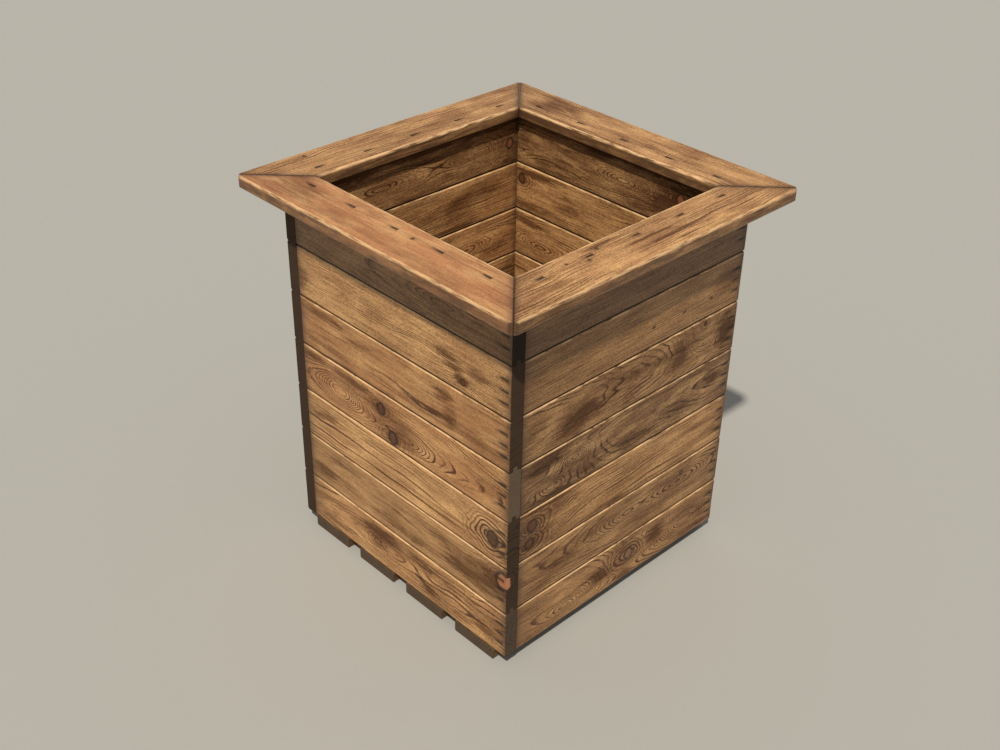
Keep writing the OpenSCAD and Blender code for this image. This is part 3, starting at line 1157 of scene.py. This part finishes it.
# The front and right rim boards get stronger wear on their arrises, partly a painted highlight where
# their outer arrises catch the light.
RIM_FIGURES = {
    "front_rim_board": dict(
        tone="russet", strength=0.88, pith=(-40, -60), taper=0.008, ring=9.0, wander=8.0,
        figure=0.4, grain=0.5, mottle=0.35, glow=0.5, wear_and_highlight=0.8,
        knots=[(336, 60, 2.6, 4.0, 4)],
        smudges_and_shade=[(105, 40, 50, 24, 0.6), (60, 70, 60, 16, 0.5)],
    ),
    "right_rim_board": dict(
        tone="honey", strength=0.98, pith=(-34, -24), taper=0.01, ring=4.6, wander=8.0, mottle=0.5,
        wear_and_highlight=0.75,
        knots=[(222, 70, 2.4, 4.0, 6), (190, 54, 2.2, 4.0, 5), (158, 66, 2.0, 4.0, 5)],
        smudges_and_shade=[
            (336, 30, 62, 4, 1.0), (300, 47, 56, 3.5, 1.0), (360, 16, 44, 3, 0.9),
            (240, 76, 50, 5, 0.8),
        ],
    ),
    "back_rim_board": dict(
        tone="honey", pith=(-34, 120), taper=0.012, ring=5.0, wander=9.0, mottle=0.6,
        smudges_and_shade=[(470, 50, 60, 16, 0.5)],
    ),
    "left_rim_board": dict(
        tone="honey", strength=0.95, pith=(-34, 130), taper=0.012, ring=5.0, wander=8.0,
        mottle=0.5,
        knots=[(478, 16, 3.0, 4.0, 5)],
    ),
}
print("rim figures", len(RIM_FIGURES))

# %% [markdown]
# ## A section with round edges
# Rim boards and slats have no tongue or chamfer, only edges run over with a router. One loop of
# straight runs and quarter arcs serves both, each with its own radius. The faces get exact
# stops at the staple slots and where the clipped tip folds.

# %% Rounded section
def rounded_section(thickness, width, radius, top_gaps=(), under_gaps=(), stops=()):
    """Outline (y, z) of a bar with four round edges, starting along the y = 0 face."""
    far_y = thickness - radius
    far_z = width - radius
    outline = [(0.0, z) for z in subdivide(radius, far_z, top_gaps, stops)]
    outline += corner_arc((radius, far_z), radius, 180.0, 90.0)[1:]
    outline += [(y, width) for y in subdivide(radius, far_y)[1:]]
    outline += corner_arc((far_y, far_z), radius, 90.0, 0.0)[1:]
    outline += [(thickness, z) for z in reversed(subdivide(radius, far_z, under_gaps, stops))][1:]
    outline += corner_arc((far_y, radius), radius, 0.0, -90.0)[1:]
    outline += [(y, 0.0) for y in reversed(subdivide(radius, far_y))][1:]
    outline += corner_arc((radius, radius), radius, -90.0, -180.0)[1:-1]
    return outline


print("section points", len(rounded_section(BOARD_THICKNESS, ROW_PITCH, RIM_ROUND)))


# %% [markdown]
# ## Building the rim
# A place function says where each point of the straight bar goes. Beyond the straight stretch
# it spreads the stations over whatever length is left at that distance from the outer edge,
# which cuts the mitre and the flat tip in one go.

# %% Build the rim boards
def rim_board(wall):
    """Build one mitred rim board where its CAD node is."""
    node = f"{WALLS[wall]}_rim_board"
    turn = quarter_turn(wall) @ LIE_DOWN
    corner, size = local_box(node, turn)
    length, thickness, width = size
    half = length / 2 + RIM_TIP / 2
    middle = length / 2
    seed = RIM_SEED + wall
    slot_x = [middle + step * RIM_STAPLE_PITCH for step in range(-RIM_STEPS, RIM_STEPS + 1)]
    straight = subdivide(
        middle - STRAIGHT_HALF, middle + STRAIGHT_HALF, [around(x, STAPLE_CROWN) for x in slot_x]
    )
    fan_step = (middle - STRAIGHT_HALF) / FAN_STEPS
    fan = [STRAIGHT_HALF + fan_step * n for n in range(1, FAN_STEPS + 1)]
    stations = [middle - x for x in reversed(fan)] + straight + [middle + x for x in fan]

    def place(x, y, z):
        reach = min(half - RIM_TIP + z, half - z) - MITRE_GAP
        out = abs(x - middle)
        if out > STRAIGHT_HALF:
            share = (out - STRAIGHT_HALF) / (middle - STRAIGHT_HALF)
            out = STRAIGHT_HALF + share * (reach - STRAIGHT_HALF)
        side = 1.0 if x > middle else -1.0
        return (middle + side * out, y + planed(x, y, z, thickness, seed), z)

    piece = sweep(
        f"{node}_timber",
        rounded_section(
            thickness, width, RIM_ROUND,
            top_gaps=[around(RIM_STAPLE_FROM_EDGE, STAPLE_SLOT)], stops=[RIM_TIP / 2],
        ),
        stations, place,
        slots=[(x, 0.0, RIM_STAPLE_FROM_EDGE, SLOT_DEPTH) for x in slot_x],
        cap_fold=RIM_TIP / 2,
    )
    soften(piece, ARRIS_MM)
    row = dict(
        Along=middle, Across=RIM_STAPLE_FROM_EDGE, Pitch_along=RIM_STAPLE_PITCH,
        Steps_along=RIM_STEPS, Steps_across=0.0,
    )
    look = dict(
        RIM_FIGURES[node], streaks=[row], mitre=1.0, joint=0.0, end_colour=(0.08, 0.046, 0.026),
    )
    material = pine_material(f"{node} stain", (length, thickness, width), look, seed)
    install(piece, node, turn, corner, material)


for wall in range(len(WALLS)):
    rim_board(wall)
print("rim boards", len(WALLS))

# %% [markdown]
# ## The floor slats
# Four rough boards carry the walls and leave gaps for water to drain. They got the same stain
# but lie in the dirt, so they are the darkest tone. The staples come up from below.

# %% Build the floor slats
SLAT_ROUND = 1.5
SLAT_STAPLE_PITCH = 24.0
SLAT_SEED = 80
SLATS = 4


def floor_slat(number):
    """Build one floor slat where its CAD node is."""
    node = f"floor_slat_{number}"
    turn = quarter_turn(1) @ LIE_DOWN
    corner, size = local_box(node, turn)
    length, thickness, width = size
    seed = SLAT_SEED + number
    slot_x = (BOARD_THICKNESS / 2, length - BOARD_THICKNESS / 2)
    slot_z = [width / 2 + side * SLAT_STAPLE_PITCH / 2 for side in (-1, 1)]
    outline = rounded_section(
        thickness, width, SLAT_ROUND, under_gaps=[around(z, STAPLE_CROWN) for z in slot_z]
    )
    stations = subdivide(0.0, length, [around(x, STAPLE_SLOT) for x in slot_x])

    def place(x, y, z):
        return (x, y + planed(x, y, z, thickness, seed), z)

    piece = sweep(
        f"{node}_timber", outline, stations, place,
        slots=[(x, thickness, z, SLOT_DEPTH) for x in slot_x for z in slot_z],
    )
    soften(piece, ARRIS_MM)
    look = dict(
        random_figure(node, length, width), tone="umber", joint=0.0, end_colour=(0.11, 0.075, 0.048),
    )
    material = pine_material(f"{node} stain", (length, thickness, width), look, seed)
    install(piece, node, turn, corner, material)


for number in range(1, SLATS + 1):
    floor_slat(number)
print("floor slats", SLATS)

# %% [markdown]
# ## The staples
# The staples keep their CAD shape: galvanised wire, flattened on top and dulled by the stain.
# Only the finish changes. Its noise isn't stretched along any axis, because zinc spangle isn't.

# %% Staple wire
ZINC = (0.09, 0.075, 0.06, 1.0)
DULLED_ZINC = (0.018, 0.012, 0.009, 1.0)

wire, net, place = start_material("stained staple wire")
spangle = net.noise(place, detail=3.0)
dull = net.step(spangle, 0.38, 0.62)
finish_material(
    net, spangle, bump_strength=0.3, bump_mm=0.1,
    Base_Color=net.blend(dull, ZINC, DULLED_ZINC),
    Metallic=(1.0 - dull) * 0.8, Roughness=dull * 0.3 + 0.38,
)
staple_nodes = [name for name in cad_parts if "staples" in name]
for name in staple_nodes:
    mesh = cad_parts[name].data
    mesh.materials.clear()
    mesh.materials.append(wire)
print("staple nodes", len(staple_nodes))

# %% [markdown]
# ## Floor and light
# A plain pale floor and soft light show the timber best. The key light is high over the viewer's
# left shoulder. It lights the rim and both near walls, reaches down inside the box, and lets the
# rim cast a shadow on the top row. A pale world fills the shadows.

# %% Floor
FLOOR_HALF = 14.0
floor_mesh = bpy.data.meshes.new("floor")
floor_corners = [(x * FLOOR_HALF, y * FLOOR_HALF, 0) for x, y in ((-1, -1), (1, -1), (1, 1), (-1, 1))]
floor_mesh.from_pydata(floor_corners, [], [(0, 1, 2, 3)])
floor = bpy.data.objects.new("floor", floor_mesh)
bpy.context.scene.collection.objects.link(floor)
floor_finish = bpy.data.materials.new("pale floor")
floor_finish.use_nodes = True
floor_shader = floor_finish.node_tree.nodes["Principled BSDF"]
floor_shader.inputs["Base Color"].default_value = (0.42, 0.4, 0.35, 1.0)
floor_shader.inputs["Roughness"].default_value = 0.85
floor_mesh.materials.append(floor_finish)
print("floor", 2 * FLOOR_HALF, "m wide")

# %% [markdown]
# ## The key light and the world
# The key is a sun lamp, so its shadows run parallel, and a spread of nearly two degrees
# softens their edges. The world is a little blue, as an open sky is.

# %% Lights
KEY_TOWARDS = Vector((0.33, -0.435, 0.84))
KEY_SPREAD = math.radians(1.8)

key_light = bpy.data.lights.new("key", "SUN")
key_light.energy = 3.1
key_light.angle = KEY_SPREAD
key_light.color = (1.0, 0.96, 0.9)
key = bpy.data.objects.new("key", key_light)
key.rotation_euler = KEY_TOWARDS.to_track_quat("Z", "Y").to_euler()
bpy.context.scene.collection.objects.link(key)

world = bpy.data.worlds.new("pale studio")
world.use_nodes = True
sky = world.node_tree.nodes["Background"]
sky.inputs["Color"].default_value = (0.88, 0.93, 1.0, 1.0)
sky.inputs["Strength"].default_value = 0.36
bpy.context.scene.world = world
bpy.context.scene.view_settings.view_transform = "Standard"
print("key light", key_light.energy, "and world", sky.inputs["Strength"].default_value)
